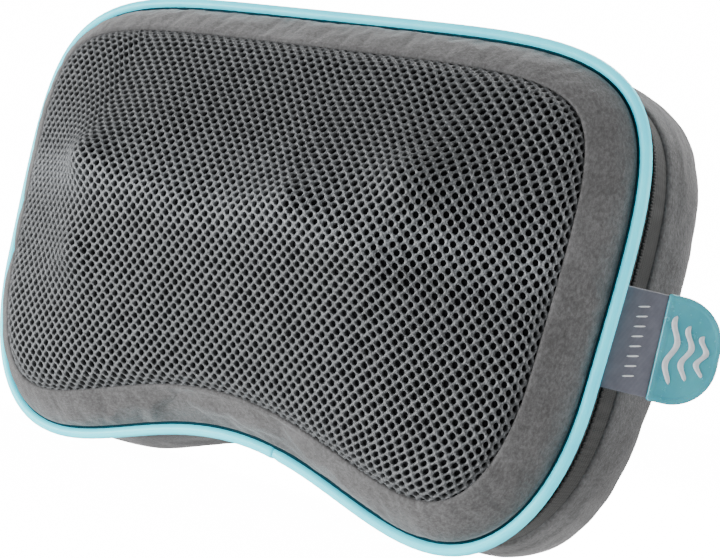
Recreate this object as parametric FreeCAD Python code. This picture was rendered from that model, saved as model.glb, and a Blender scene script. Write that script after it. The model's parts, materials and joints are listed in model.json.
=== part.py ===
# Shiatsu neck massager: a bean-shaped pillow with four rotating massage nodes.
# It stands on its two lower lobes: +Z up, the massage face towards -Y, the sewn-in tag on +X.
import FreeCAD, Part
import math
import os
from FreeCAD import Vector

os.makedirs("parts", exist_ok=True)

# ---- driving dimensions (mm) ----
# outline of the piping's centre line, seen from the front
half_width = 173.9
top_rise = 153.5
bottom_drop = 151.3
top_power = 0.376
bottom_power = 0.912
notch_height = 89.0
notch_spread = 176.1
side_taper = 0.032
piping_r = 2.75
splice_x = 24.0
sole_depth = 0.5          # how far the back cover is pressed flat where it stands

# depths along Y
depth_front = -67.9       # crests of the four bumps, before the mesh is set back by its 0.4 mm seam gap
mesh_plain = -60.5        # mesh panel between the bumps
mesh_edge_y = -34.5
piping_y = -14.5
zipper_y = 5.0            # middle of the zipper
cover_front_y = 24.8      # front edge of the back cover
depth_back = 67.5
mesh_edge_inset = 20.0
gusset_inset = 2.9

# fabric and foam thicknesses
mesh_t = 3.0
lining_t = 1.0
suede_t = 2.0
tape_t = 1.2

# tag on the +X side
tag_length = 20.0
tab_length = 28.0
tag_low = 91.0
tag_high = 137.0
tag_angle = 30.0
tag_t = 1.6
tab_t = 3.0

# massage mechanism
head_x = 62.0
head_z = 138.0
node_orbit = 28.0
left_arm_angle = 170.0
right_arm_angle = 36.0
node_y = -38.5
core_r = 13.0
gel_r = 17.0
shaft_r = 4.0
shaft_gap = 0.05
wheel_teeth = 40
module = 1.2
worm_pitch_r = 6.0
worm_turns = 8
worm_neck = 5.6
tooth_half = 0.65         # half a tooth or thread, on the pitch line
flank_slope = math.tan(math.radians(20))
wheel_y = 20.0
wheel_face = 8.0
motor_r = 18.0
motor_half = 29.0
motor_shaft_r = 2.5
strap_x = 20.0
strap_foot = 25.0
cradle_y = wheel_y + 8

# plastic chassis
chassis_half_w = 113.0
chassis_low = 76.0
chassis_high = 192.0
chassis_corner = 22.0
chassis_front_y = -5.0
chassis_split_y = -1.0
chassis_back_y = 46.0
wall = 2.5

# control housing on the -X side
control_z = 104.0
control_y = 5.0
control_w = 26.0          # along Y
control_h = 46.0          # along Z
control_proud = 2.2
button_r = 7.0
button_z = control_z + 11
button_proud = 1.4
button_travel = 1.2
socket_z = control_z - 13
socket_bore_r = 2.75
socket_depth = 9.0

wheel_pitch_r = module * wheel_teeth / 2
worm_z = head_z - wheel_pitch_r - worm_pitch_r
lead = math.pi * module
outline_points = 44


# ---- the outline ----
def raw_outline(t):
    s, c = math.sin(t), math.cos(t)
    power = top_power if c >= 0 else bottom_power
    x = half_width * math.copysign(abs(s) ** power, s)
    if c >= 0:
        z = top_rise * c ** power
    else:
        notch = notch_height * c * c * math.exp(-((x / notch_spread) ** 2))
        z = notch - bottom_drop * abs(c) ** power
    lean = max(-1.0, min(1.0, z / bottom_drop))
    return x * (1 + side_taper * math.sin(lean * math.pi / 2)), z


def even_outline(count):
    fine = [raw_outline(2 * math.pi * i / 4000) for i in range(4001)]
    run = [0.0]
    for a, b in zip(fine, fine[1:]):
        run.append(run[-1] + math.dist(a, b))
    out, j = [], 0
    for i in range(count):
        want = run[-1] * i / count
        while run[j + 1] < want:
            j += 1
        k = (want - run[j]) / (run[j + 1] - run[j])
        out.append(tuple(p + k * (q - p) for p, q in zip(fine[j], fine[j + 1])))
    return out


fine_outline = even_outline(outline_points * 8)
floor_shift = piping_r - min(z for x, z in fine_outline)
side_x = max(x for x, z in fine_outline)
side_z = max(fine_outline)[1] + floor_shift
control_x = min(fine_outline, key=lambda p: abs(p[1] + floor_shift - control_z) - p[0])[0]
tag_root_x = side_x + 0.6
tab_end = tag_length + tab_length - 0.6
tag_turn = math.radians(tag_angle)
box_right = tag_root_x + tab_end * math.cos(tag_turn) + tab_t / 2 * math.sin(tag_turn)
slider_x = side_x - gusset_inset + 1.0     # underside of the zipper slider, just clear of the coil
slider_h = 5.8
mid_x = (slider_x + slider_h - box_right) / 2     # puts the whole box's centre on X = 0


def outline(inset, count=outline_points):
    # parallel to the piping near the edge, then drawn in towards the middle of the face
    parallel = min(inset, 24.0)
    draw_in = 1 - (inset - parallel) / 155
    step = len(fine_outline) // count
    points = []
    for i in range(0, len(fine_outline), step):
        (xa, za), (xb, zb) = fine_outline[i - 2], fine_outline[(i + 2) % len(fine_outline)]
        long = math.dist((xa, za), (xb, zb))
        nx, nz = (zb - za) / long, -(xb - xa) / long
        x, z = fine_outline[i][0] + nx * parallel, fine_outline[i][1] + nz * parallel + floor_shift
        points.append((x * draw_in, head_z - 14 + (z - head_z + 14) * draw_in))
    return points


def ring(inset, y):
    curve = Part.BSplineCurve()
    curve.interpolate(Points=[Vector(x, y, z) for x, z in outline(inset)], PeriodicFlag=True)
    return Part.Wire([curve.toShape()])


def loft(sections):
    return Part.makeLoft([ring(inset, y) for y, inset in sections], True, False)


def band(y0, y1, inset0, inset1):
    face = Part.Face(ring(inset0, y0)).cut(Part.Face(ring(inset1, y0)))
    return face.extrude(Vector(0, y1 - y0, 0))


# ---- small helpers ----
def rod(r, start, end):
    a, b = Vector(*start), Vector(*end)
    return Part.makeCylinder(r, (b - a).Length, a, b - a)


def tube(r, bore, start, end):
    return rod(r, start, end).cut(rod(bore, start, end))


def block(x0, x1, y0, y1, z0, z1):
    return Part.makeBox(x1 - x0, y1 - y0, z1 - z0, Vector(x0, y0, z0))


def rounded_plate(half_w, low, high, corner, y0, y1):
    plate = block(-half_w, half_w, y0, y1, low, high)
    along_y = [e for e in plate.Edges if abs(e.tangentAt(e.FirstParameter).y) > 0.9]
    return plate.makeFillet(corner, along_y)


def join(shapes):
    return shapes[0].multiFuse(shapes[1:]).removeSplitter() if len(shapes) > 1 else shapes[0]


def both(make):
    return [make(-1), make(1)]


def save(name, *shapes):
    solids = [s for shape in shapes for s in shape.Solids]
    group = solids[0] if len(solids) == 1 else Part.makeCompound(solids)
    group = group.copy()
    group.translate(Vector(mid_x, 0, 0))
    for s in group.Solids:
        if not s.isValid() or s.Volume <= 0:
            print("bad solid in", name)
    group.exportStep("parts/" + name + ".step")
    print(f"{name:18s} {len(solids):2d} solid(s) {sum(s.Volume for s in solids) / 1000:9.2f} cm3")


# ---- the fabric cover ----
def bumps(r_less):
    crest_r = 26.0
    balls = []
    for side, angle in ((-1, left_arm_angle), (1, right_arm_angle)):
        for turn in (0, 180):
            a = math.radians(angle + turn)
            centre = Vector(side * head_x + node_orbit * math.cos(a), depth_front + crest_r,
                            head_z + node_orbit * math.sin(a))
            balls.append(Part.makeSphere(crest_r - r_less, centre))
    return balls


def dome(less):
    profile = ((mesh_edge_y + 4, 16), (mesh_edge_y, 20.5), (-43.0, 28), (-50.5, 38),
               (-56.5, 51), (mesh_plain, 68))
    body = loft([(y + 0.85 * less, inset + 0.55 * less) for y, inset in profile])
    front = block(-200, 200, -90, mesh_edge_y + 0.3, 0, 300)
    return body.multiFuse(bumps(less)).common(front)


def border(less):
    profile = ((piping_y + 0.5, 3.2), (-20.5, 5.6), (-28.0, 12.0), (mesh_edge_y, 20.0))
    return loft([(y, inset + less) for y, inset in profile])


def make_front():
    outer, under, lining = dome(0.4), dome(mesh_t), dome(mesh_t + lining_t)
    save("mesh_panel", outer.cut(under))
    save("mesh_lining", under.cut(lining))
    window = loft([(mesh_edge_y + 6, mesh_edge_inset - 3.5), (mesh_edge_y - 2, mesh_edge_inset + 2)])
    inside = border(suede_t + 0.6)
    save("front_border", border(0).cut(inside).cut(window.cut(inside)))


def make_piping():
    # the cord's two ends butt together on the bottom edge
    points = [Vector(x, piping_y, z) for x, z in outline(0)]
    first = min(range(len(points)), key=lambda i: abs(points[i].x - splice_x) + points[i].z)
    points = points[first:] + points[:first + 1]
    points[-1] = points[-1] + (points[-2] - points[-1]).normalize() * 0.3
    curve = Part.BSplineCurve()
    curve.interpolate(points)
    profile = Part.Wire([Part.Circle(points[0], points[1] - points[0], piping_r).toShape()])
    save("piping", Part.Wire([curve.toShape()]).makePipeShell([profile], True, False))


def control_window(grow):
    y0, y1 = control_y - control_w / 2 - grow, control_y + control_w / 2 + grow
    z0, z1 = control_z - control_h / 2 - grow, control_z + control_h / 2 + grow
    return block(-200, -140, y0, y1, z0, z1)


def make_gusset():
    window = control_window(0.4)
    tapes = (("zipper_tape_front", piping_y + 2.0, zipper_y - 1.4),
             ("zipper_tape_back", zipper_y + 1.4, cover_front_y))
    for name, y0, y1 in tapes:
        save(name, band(y0, y1, gusset_inset, gusset_inset + tape_t).cut(window))
    coil = band(zipper_y - 1.35, zipper_y + 1.35, gusset_inset - 0.5, gusset_inset + tape_t)
    save("zipper_coil", coil.cut(window))


def make_back_cover():
    outset = -piping_r - sole_depth
    outer = [(cover_front_y + 0.1, 2.6), (33.0, -1.2), (42.0, outset + 0.3), (50.0, outset),
             (58.0, -1.0), (64.0, 5.5)]
    inner = [(y, inset + suede_t) for y, inset in outer]
    shell = loft(outer + [(depth_back, 17.0)])
    hollow = loft([(cover_front_y - 1.0, inner[0][1] + 0.4)] + inner[1:] + [(depth_back - suede_t, 17.0 + suede_t)])
    below_floor = block(-250, 250, 0, 90, -20, 0)
    save("back_cover", shell.cut(hollow).cut(below_floor))


def tag_plate(length0, length1, z0, z1, thick, round_r):
    plate = Part.makeBox(length1 - length0, thick, z1 - z0, Vector(length0, -thick / 2, z0))
    if round_r:
        edges = []
        for e in plate.Edges:
            mid = e.valueAt((e.FirstParameter + e.LastParameter) / 2)
            if abs(e.tangentAt(e.FirstParameter).y) > 0.9 and mid.x > length1 - 1:
                edges.append(e)
        plate = plate.makeFillet(round_r, edges)
    plate.rotate(Vector(0, 0, 0), Vector(0, 0, 1), tag_angle)
    plate.translate(Vector(tag_root_x, piping_y + piping_r + 1.6, 0))
    return plate


def make_tag():
    fabric = tag_plate(0, tag_length, tag_low, tag_high, tag_t, 0)
    save("side_tag", fabric)
    save("gel_tab", tag_plate(tag_length + 0.05, tab_end, tag_low - 0.8, tag_high + 0.8, tab_t, 20.0))


def make_foams():
    racetrack = rounded_plate(head_x + node_orbit + gel_r + 3, head_z - node_orbit - gel_r - 3,
                              head_z + node_orbit + gel_r + 3, 40.0, -80, 10)
    profile = ((piping_y + 1.5, 8.0), (-24.0, 14.5), (-33.5, 25.5), (-43.0, 36), (-49.5, 48), (-53.0, 62))
    front = loft(profile).cut(racetrack)
    save("front_foam", front.cut(rounded_plate(chassis_half_w + 0.6, chassis_low - 0.6, chassis_high + 0.6,
                                               chassis_corner, chassis_front_y - 0.6, 10)))
    outer = [(piping_y + 2.2, 5.0), (cover_front_y, 5.2), (33.0, 1.8), (50.0, 0.0),
             (58.0, 2.2), (63.5, 11.0)]
    rear = loft(outer)
    pocket = rounded_plate(chassis_half_w + 0.6, chassis_low - 0.6, chassis_high + 0.6, chassis_corner + 0.6,
                           -60, chassis_back_y + 0.6)
    save("rear_foam", rear.cut(pocket).cut(control_window(0.5)))


# ---- chassis ----
def screw_places():
    heights = (chassis_low + 12, chassis_high - 12)
    return [(sx * (chassis_half_w - 12), z) for sx in (-1, 1) for z in heights]


def make_chassis():
    rear = rounded_plate(chassis_half_w, chassis_low, chassis_high, chassis_corner,
                         chassis_split_y, chassis_back_y)
    hollow = rounded_plate(chassis_half_w - wall, chassis_low + wall, chassis_high - wall, chassis_corner - wall,
                           chassis_split_y - 1, chassis_back_y - wall)
    rear = rear.cut(hollow)
    posts = [rod(5, (x, chassis_split_y, z), (x, chassis_back_y - 1, z)) for x, z in screw_places()]
    hubs = both(lambda s: rod(9, (s * head_x, 31, head_z), (s * head_x, chassis_back_y - 1, head_z)))
    worm_posts = both(lambda s: block(s * 88 - 3, s * 88 + 3, wheel_y - 5, chassis_back_y - 1,
                                      worm_z - 8, worm_z + 8))
    cradles = both(lambda s: block(s * strap_x - 3, s * strap_x + 3, cradle_y, chassis_back_y - 1,
                                   worm_z - strap_foot, worm_z + strap_foot))
    rear = join([rear] + posts + hubs + worm_posts + cradles)
    for x, z in screw_places():
        rear = rear.cut(rod(1.3, (x, chassis_split_y - 1, z), (x, 18, z)))
    for s in (-1, 1):
        rear = rear.cut(rod(6.5, (s * head_x, 30, head_z), (s * head_x, 39, head_z)))
        rear = rear.cut(rod(4.5, (s * 88 - 4, wheel_y, worm_z), (s * 88 + 4, wheel_y, worm_z)))
        for k in (-1, 1):
            z = worm_z + k * (strap_foot - 3)
            rear = rear.cut(rod(1.2, (s * strap_x, cradle_y - 1, z), (s * strap_x, cradle_y + 10, z)))
    rear = rear.cut(rod(motor_r + 0.1, (-40, wheel_y, worm_z), (40, wheel_y, worm_z)))
    save("chassis_rear", rear)

    front = rounded_plate(chassis_half_w, chassis_low, chassis_high, chassis_corner,
                          chassis_front_y, chassis_split_y)
    collars = both(lambda s: rod(11, (s * head_x, -12, head_z), (s * head_x, 6, head_z)))
    front = join([front] + collars)
    for s in (-1, 1):
        front = front.cut(rod(7.0, (s * head_x, -13, head_z), (s * head_x, 7, head_z)))
    for x, z in screw_places():
        front = front.cut(rod(1.7, (x, chassis_front_y - 1, z), (x, chassis_split_y + 1, z)))
        front = front.cut(rod(3.2, (x, chassis_front_y - 1, z), (x, chassis_front_y + 1.8, z)))
    save("chassis_front", front)
    screws = []
    for x, z in screw_places():
        head = rod(3.0, (x, chassis_front_y + 0.1, z), (x, chassis_front_y + 1.8, z))
        screws.append(join([head, rod(1.3, (x, chassis_front_y + 0.1, z), (x, 14, z))]))
    save("chassis_screws", *screws)


def make_bushes():
    def front(s):
        flange = tube(10, shaft_r + shaft_gap, (s * head_x, -13.5, head_z), (s * head_x, -12, head_z))
        sleeve = tube(7.0, shaft_r + shaft_gap, (s * head_x, -12, head_z), (s * head_x, 6, head_z))
        return join([flange, sleeve])
    save("front_bushes", *both(front))
    save("rear_bushes", *both(lambda s: tube(6.5, shaft_r + shaft_gap, (s * head_x, 31, head_z),
                                             (s * head_x, 39, head_z))))
    save("worm_bushes", *both(lambda s: tube(4.5, motor_shaft_r + shaft_gap, (s * 85, wheel_y, worm_z),
                                             (s * 91, wheel_y, worm_z))))


# ---- drive train ----
def make_wheel(side, name):
    tip, root = wheel_pitch_r + 1.0, wheel_pitch_r - 1.4
    disc = Part.makeCylinder(root, wheel_face, Vector(0, -wheel_face / 2, 0), Vector(0, 1, 0))
    teeth = []
    low = root - 0.4
    half_low = tooth_half + (wheel_pitch_r - low) * flank_slope
    half_tip = tooth_half - (tip - wheel_pitch_r) * flank_slope
    for i in range(wheel_teeth):
        corners = [(-half_low, low), (-half_tip, tip), (half_tip, tip), (half_low, low)]
        face = Part.Face(Part.makePolygon([Vector(x, -wheel_face / 2, -z) for x, z in corners + corners[:1]]))
        tooth = face.extrude(Vector(0, wheel_face, 0))
        tooth.rotate(Vector(0, 0, 0), Vector(0, 1, 0), 360.0 / wheel_teeth * (i + 0.5))
        teeth.append(tooth)
    hub = rod(9, (0, -wheel_face / 2 - 5, 0), (0, wheel_face / 2 + 3, 0))
    wheel = join([disc, hub] + teeth)
    for i in range(5):
        a = 2 * math.pi * i / 5
        x, z = 15.5 * math.cos(a), 15.5 * math.sin(a)
        wheel = wheel.cut(rod(4.0, (x, -9, z), (x, 9, z)))
    wheel = wheel.cut(rod(shaft_r, (0, -20, 0), (0, 20, 0)))
    wheel.translate(Vector(side * head_x, wheel_y, head_z))
    save(name, wheel)


def make_worm(side, name):
    # a single-start worm is its cross-section, twisted one turn for each lead
    root, tip = worm_pitch_r - 1.3, worm_pitch_r + 1.0
    long = lead * worm_turns

    def at(r, sign):
        half = tooth_half + (worm_pitch_r - r) * flank_slope
        a = sign * half / lead * 2 * math.pi
        return Vector(r * math.cos(a), r * math.sin(a), 0)

    def flank(sign):
        curve = Part.BSplineCurve()
        curve.interpolate([at(root + (tip - root) * k / 6, sign) for k in range(7)])
        return curve.toShape()

    crest = Part.Arc(at(tip, -1), Vector(tip, 0, 0), at(tip, 1)).toShape()
    core = Part.Arc(at(root, 1), Vector(-root, 0, 0), at(root, -1)).toShape()
    twist = Part.BRepOffsetAPI.MakePipeShell(Part.Wire([Part.makeLine(Vector(0, 0, 0), Vector(0, 0, long))]))
    twist.setAuxiliarySpine(Part.Wire(Part.makeHelix(lead, long, tip, 0, side < 0).Edges), True, 0)
    twist.add(Part.Wire([crest, flank(1), core, flank(-1)]))
    twist.build()
    twist.makeSolid()
    necks = [Part.makeCylinder(root, worm_neck, Vector(0, 0, z)) for z in (-worm_neck, long)]
    worm = join([twist.shape()] + necks)
    worm = worm.cut(Part.makeCylinder(motor_shaft_r, long + 40, Vector(0, 0, -20)))
    worm.rotate(Vector(0, 0, 0), Vector(0, 1, 0), 90)
    worm.translate(Vector(side * head_x - lead * (worm_turns / 2 + 0.5), wheel_y, worm_z))
    save(name, worm)


def make_head(side, angle, word):
    a = math.radians(angle)
    x0 = side * head_x
    save("head_shaft_" + word, rod(shaft_r, (x0, -31, head_z), (x0, 38.5, head_z)))
    ends = [(x0 + k * node_orbit * math.cos(a), head_z + k * node_orbit * math.sin(a)) for k in (1, -1)]
    arm = join([rod(13, (x0, -29, head_z), (x0, -20, head_z))]
               + [rod(9, (x, -29, z), (x, -23, z)) for x, z in ends])
    bar = Part.makeBox(2 * node_orbit, 6, 18, Vector(-node_orbit, -29, -9))
    bar.rotate(Vector(0, 0, 0), Vector(0, 1, 0), -angle)
    bar.translate(Vector(x0, 0, head_z))
    arm = join([arm, bar]).cut(rod(shaft_r, (x0, -32, head_z), (x0, 10, head_z)))
    for x, z in ends:
        arm = arm.cut(rod(1.6, (x, -30, z), (x, -10, z)))
    save("head_arm_" + word, arm)
    cores, gels, screws = [], [], []
    for x, z in ends:
        ball = Part.makeSphere(core_r, Vector(x, node_y, z))
        foot = rod(9, (x, -29, z), (x, node_y, z))
        core = join([ball.common(block(-200, 200, -80, -29, 0, 300)), foot])
        cores.append(core.cut(rod(1.4, (x, -28, z), (x, -42, z))))
        dome_gel = Part.makeSphere(gel_r, Vector(x, node_y, z)).common(block(-200, 200, -80, node_y + 5, 0, 300))
        gels.append(dome_gel.cut(Part.makeSphere(core_r, Vector(x, node_y, z))).cut(foot))
        screws.append(join([rod(1.4, (x, -40, z), (x, -21.5, z)), rod(3.0, (x, -23, z), (x, -21, z))]))
    save("node_cores_" + word, *cores)
    save("gel_caps_" + word, *gels)
    save("node_screws_" + word, *screws)
    hub_y = wheel_y - wheel_face / 2
    save("shaft_ring_" + word, tube(6.0, shaft_r, (x0, hub_y - 6.5, head_z), (x0, hub_y - 5.2, head_z)))


def make_motor():
    x = motor_half
    can = tube(motor_r, motor_r - 1.2, (-x, wheel_y, worm_z), (x, wheel_y, worm_z))
    save("motor_can", can)

    def cap(s):
        disc = rod(motor_r - 1.25, (s * (x - 2.5), wheel_y, worm_z), (s * x, wheel_y, worm_z))
        boss = rod(6, (s * x, wheel_y, worm_z), (s * (x + 3), wheel_y, worm_z))
        return join([disc, boss]).cut(rod(4.5, (s * (x - 4), wheel_y, worm_z), (s * (x + 4), wheel_y, worm_z)))
    save("motor_end_caps", *both(cap))
    save("motor_bearings", *both(lambda s: tube(4.5, motor_shaft_r + shaft_gap, (s * (x - 2.5), wheel_y, worm_z),
                                                (s * (x + 3), wheel_y, worm_z))))
    magnets = tube(motor_r - 1.25, 12.5, (-18, wheel_y, worm_z), (18, wheel_y, worm_z))
    save("motor_magnets", magnets.cut(block(-30, 30, wheel_y - 20, wheel_y + 20, worm_z - 4, worm_z + 4)))
    save("motor_shaft", rod(motor_shaft_r, (-92, wheel_y, worm_z), (92, wheel_y, worm_z)))
    stack = rod(11.5, (-16, wheel_y, worm_z), (16, wheel_y, worm_z))
    for i in range(5):
        a = 2 * math.pi * i / 5
        stack = stack.cut(rod(2.4, (-20, wheel_y + 10 * math.cos(a), worm_z + 10 * math.sin(a)),
                              (20, wheel_y + 10 * math.cos(a), worm_z + 10 * math.sin(a))))
    commutator = rod(5.0, (16, wheel_y, worm_z), (24, wheel_y, worm_z))
    bore = rod(motor_shaft_r, (-30, wheel_y, worm_z), (30, wheel_y, worm_z))
    save("motor_rotor", join([stack, commutator]).cut(bore))

    straps, screws = [], []
    for x in (-strap_x, strap_x):
        hoop = tube(motor_r + 1.4, motor_r + 0.1, (x - 3, wheel_y, worm_z), (x + 3, wheel_y, worm_z))
        hoop = hoop.cut(block(x - 4, x + 4, cradle_y, 60, 60, 200))
        feet = block(x - 3, x + 3, cradle_y - 1.3, cradle_y, worm_z - strap_foot, worm_z + strap_foot)
        feet = feet.cut(rod(motor_r + 0.1, (x - 4, wheel_y, worm_z), (x + 4, wheel_y, worm_z)))
        strap = join([hoop, feet])
        for k in (-1, 1):
            z = worm_z + k * (strap_foot - 3)
            strap = strap.cut(rod(1.2, (x, cradle_y - 3, z), (x, cradle_y + 1, z)))
            screws.append(join([rod(1.2, (x, cradle_y - 1.4, z), (x, cradle_y + 9, z)),
                                rod(2.2, (x, cradle_y - 2.8, z), (x, cradle_y - 1.3, z))]))
        straps.append(strap)
    save("motor_straps", *straps)
    save("motor_screws", *screws)


def make_controls():
    face_x = -(control_x - gusset_inset) - control_proud
    back_x = face_x + 20
    y0, y1 = control_y - control_w / 2, control_y + control_w / 2
    z0, z1 = control_z - control_h / 2, control_z + control_h / 2
    housing = block(face_x, back_x, y0, y1, z0, z1)
    long_edges = [e for e in housing.Edges if abs(e.tangentAt(e.FirstParameter).x) > 0.9]
    housing = housing.makeFillet(4.0, long_edges)
    housing = housing.cut(block(face_x + 2.2, back_x + 1, y0 + 2, y1 - 2, z0 + 2, z1 - 2))
    lens_z = control_z - 1
    for r, z in ((button_r + 0.3, button_z), (1.5, lens_z), (4.5, socket_z)):
        housing = housing.cut(rod(r, (face_x - 1, control_y, z), (face_x + 5, control_y, z)))
    save("control_housing", housing)
    board_x = face_x + 13
    plunger_x = board_x - 4.8
    cap = rod(button_r, (face_x - button_proud, control_y, button_z), (face_x + 4.2, control_y, button_z))
    cap = cap.makeFillet(0.6, [e for e in cap.Edges if e.BoundBox.XMax < face_x])
    rim = rod(button_r + 1.2, (face_x + 3.9, control_y, button_z), (face_x + 4.9, control_y, button_z))
    stem = rod(2.0, (face_x + 4.9, control_y, button_z), (plunger_x - button_travel - 0.1, control_y, button_z))
    save("power_button", join([cap, rim, stem]))
    save("control_board", block(board_x, board_x + 1.6, y0 + 2.4, y1 - 2.4, z0 + 2.4, z1 - 2.4))
    switch = join([block(board_x - 3.6, board_x, control_y - 3, control_y + 3, button_z - 3, button_z + 3),
                   rod(1.7, (plunger_x, control_y, button_z), (board_x - 3.6, control_y, button_z))])
    save("push_switch", switch)
    save("indicator_lens", rod(1.45, (face_x - 0.3, control_y, lens_z), (board_x - 0.05, control_y, lens_z)))
    barrel = rod(4.4, (face_x - 0.2, control_y, socket_z), (face_x + 3, control_y, socket_z))
    body = block(face_x + 2.4, board_x, control_y - 5, control_y + 5, socket_z - 5, socket_z + 5)
    bore = rod(socket_bore_r, (face_x - 1, control_y, socket_z),
               (face_x - 0.2 + socket_depth, control_y, socket_z))
    save("power_socket", join([barrel, body]).cut(bore))
    lid = block(back_x - 1.4, back_x, y0 + 2.05, y1 - 2.05, z0 + 2.05, z1 - 2.05)
    save("control_lid", lid)


def make_zipper_slider():
    top_x = -slider_x
    z = side_z
    plate = block(top_x - 1.6, top_x, zipper_y - 4.2, zipper_y + 4.2, z - 6, z + 6)
    upright = [e for e in plate.Edges if abs(e.tangentAt(e.FirstParameter).x) > 0.9]
    plate = plate.makeFillet(2.0, upright)
    posts = [block(top_x - 4.6, top_x - 1.6, zipper_y - 1.2, zipper_y + 1.2, z + k - 1, z + k + 1)
             for k in (-4, 4)]
    bridge = block(top_x - slider_h, top_x - 4.6, zipper_y - 1.2, zipper_y + 1.2, z - 5, z + 5)
    save("zipper_slider", join([plate] + posts + [bridge]))
    pin_x = top_x - 3.2
    eye = rod(0.9, (pin_x, zipper_y - 3.0, z + 1), (pin_x, zipper_y + 3.0, z + 1))
    legs = [block(pin_x - 0.7, pin_x + 0.7, zipper_y + k - 0.8, zipper_y + k + 0.8, z - 9, z + 1)
            for k in (-2.4, 2.4)]
    blade = block(pin_x - 0.7, pin_x + 0.7, zipper_y - 3.2, zipper_y + 3.2, z - 27, z - 8)
    save("zipper_pull", join([eye] + legs + [blade]))


make_front()
make_piping()
make_gusset()
make_back_cover()
make_tag()
make_foams()
make_chassis()
make_bushes()
for side, angle, word in ((-1, left_arm_angle, "left"), (1, right_arm_angle, "right")):
    make_wheel(side, "worm_wheel_" + word)
    make_worm(side, "worm_" + word)
    make_head(side, angle, word)
make_motor()
make_controls()
make_zipper_slider()
print("mid_x", round(mid_x, 3), "side_x", round(side_x, 3), "side_z", round(side_z, 3),
      "control_x", round(control_x, 3), "worm_z", worm_z)
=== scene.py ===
import json
import math
import bpy
import numpy as np
from mathutils import Matrix, Vector


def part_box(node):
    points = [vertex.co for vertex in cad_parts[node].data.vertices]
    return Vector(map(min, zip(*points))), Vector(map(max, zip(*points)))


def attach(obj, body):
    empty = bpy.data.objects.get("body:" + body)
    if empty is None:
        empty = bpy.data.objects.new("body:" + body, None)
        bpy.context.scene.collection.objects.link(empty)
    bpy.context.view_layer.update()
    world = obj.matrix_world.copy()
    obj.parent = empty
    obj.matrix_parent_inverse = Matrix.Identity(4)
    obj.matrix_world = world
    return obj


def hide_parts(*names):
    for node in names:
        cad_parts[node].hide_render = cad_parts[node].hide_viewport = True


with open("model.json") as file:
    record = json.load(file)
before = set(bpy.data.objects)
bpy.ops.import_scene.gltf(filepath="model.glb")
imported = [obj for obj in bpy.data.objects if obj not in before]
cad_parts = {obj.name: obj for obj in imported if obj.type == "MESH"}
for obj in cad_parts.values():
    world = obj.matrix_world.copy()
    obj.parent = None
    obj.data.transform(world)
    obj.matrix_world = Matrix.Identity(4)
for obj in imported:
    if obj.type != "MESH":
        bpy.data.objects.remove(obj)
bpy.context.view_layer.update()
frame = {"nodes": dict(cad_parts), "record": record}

nodes = frame["nodes"]
print("frame loaded")


# camera, light and floor
cameraSet = {
    "place": (0.3673, -0.5932, 0.0835),
    "azimuth": 30.342,
    "elevation": -2.683,
    "roll": 13.633,
    "lens": 70,
}


def addCamera():
    a, e, r = (math.radians(cameraSet[k]) for k in ("azimuth", "elevation", "roll"))
    back = Vector((math.sin(a) * math.cos(e), -math.cos(a) * math.cos(e), math.sin(e)))
    level = Vector((math.cos(a), math.sin(a), 0))
    top = back.cross(level)
    right = level * math.cos(r) + top * math.sin(r)
    up = top * math.cos(r) - level * math.sin(r)
    cam = bpy.data.objects.new("camera", bpy.data.cameras.new("camera"))
    cam.data.lens = cameraSet["lens"]
    cam.data.clip_start = 0.02
    turn = Matrix((right, up, back)).transposed().to_4x4()
    cam.matrix_world = Matrix.Translation(cameraSet["place"]) @ turn
    bpy.context.scene.collection.objects.link(cam)
    bpy.context.scene.camera = cam


lightSet = {
    "world": 0.48,
    "backdrop": 16.0,         # how bright the plain background itself looks
    "floorHalf": 30.0,
    # name: place, aimed at, size, power
    "key": ((-1.10, -1.20, 0.02), (0, 0, 0.12), 0.6, 40),
    "top": ((0.10, 0.75, 1.35), (0, 0, 0.15), 0.9, 24),
    "side": ((1.3, 0.25, 0.45), (0.1, 0, 0.12), 0.8, 15),
    "low": ((-0.35, -0.9, -0.95), (0, 0, 0.10), 1.0, 22),
}


def addLights():
    world = bpy.data.worlds.new("studio")
    world.use_nodes = True
    tree = world.node_tree
    soft = tree.nodes["Background"]
    soft.inputs["Color"].default_value = (1, 1, 1, 1)
    soft.inputs["Strength"].default_value = lightSet["world"]
    plain = tree.nodes.new("ShaderNodeBackground")
    plain.inputs["Color"].default_value = (1, 1, 1, 1)
    plain.inputs["Strength"].default_value = lightSet["backdrop"]
    which = tree.nodes.new("ShaderNodeMixShader")
    tree.links.new(tree.nodes.new("ShaderNodeLightPath").outputs["Is Camera Ray"], which.inputs[0])
    tree.links.new(soft.outputs[0], which.inputs[1])
    tree.links.new(plain.outputs[0], which.inputs[2])
    tree.links.new(which.outputs[0], tree.nodes["World Output"].inputs["Surface"])
    bpy.context.scene.world = world
    for name in ("key", "top", "side", "low"):
        place, aim, size, power = lightSet[name]
        lamp = bpy.data.lights.new(name, "AREA")
        lamp.size = size
        lamp.energy = power
        obj = bpy.data.objects.new(name, lamp)
        obj.location = place
        obj.rotation_euler = (Vector(aim) - Vector(place)).to_track_quat("-Z", "Y").to_euler()
        bpy.context.scene.collection.objects.link(obj)


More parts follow.
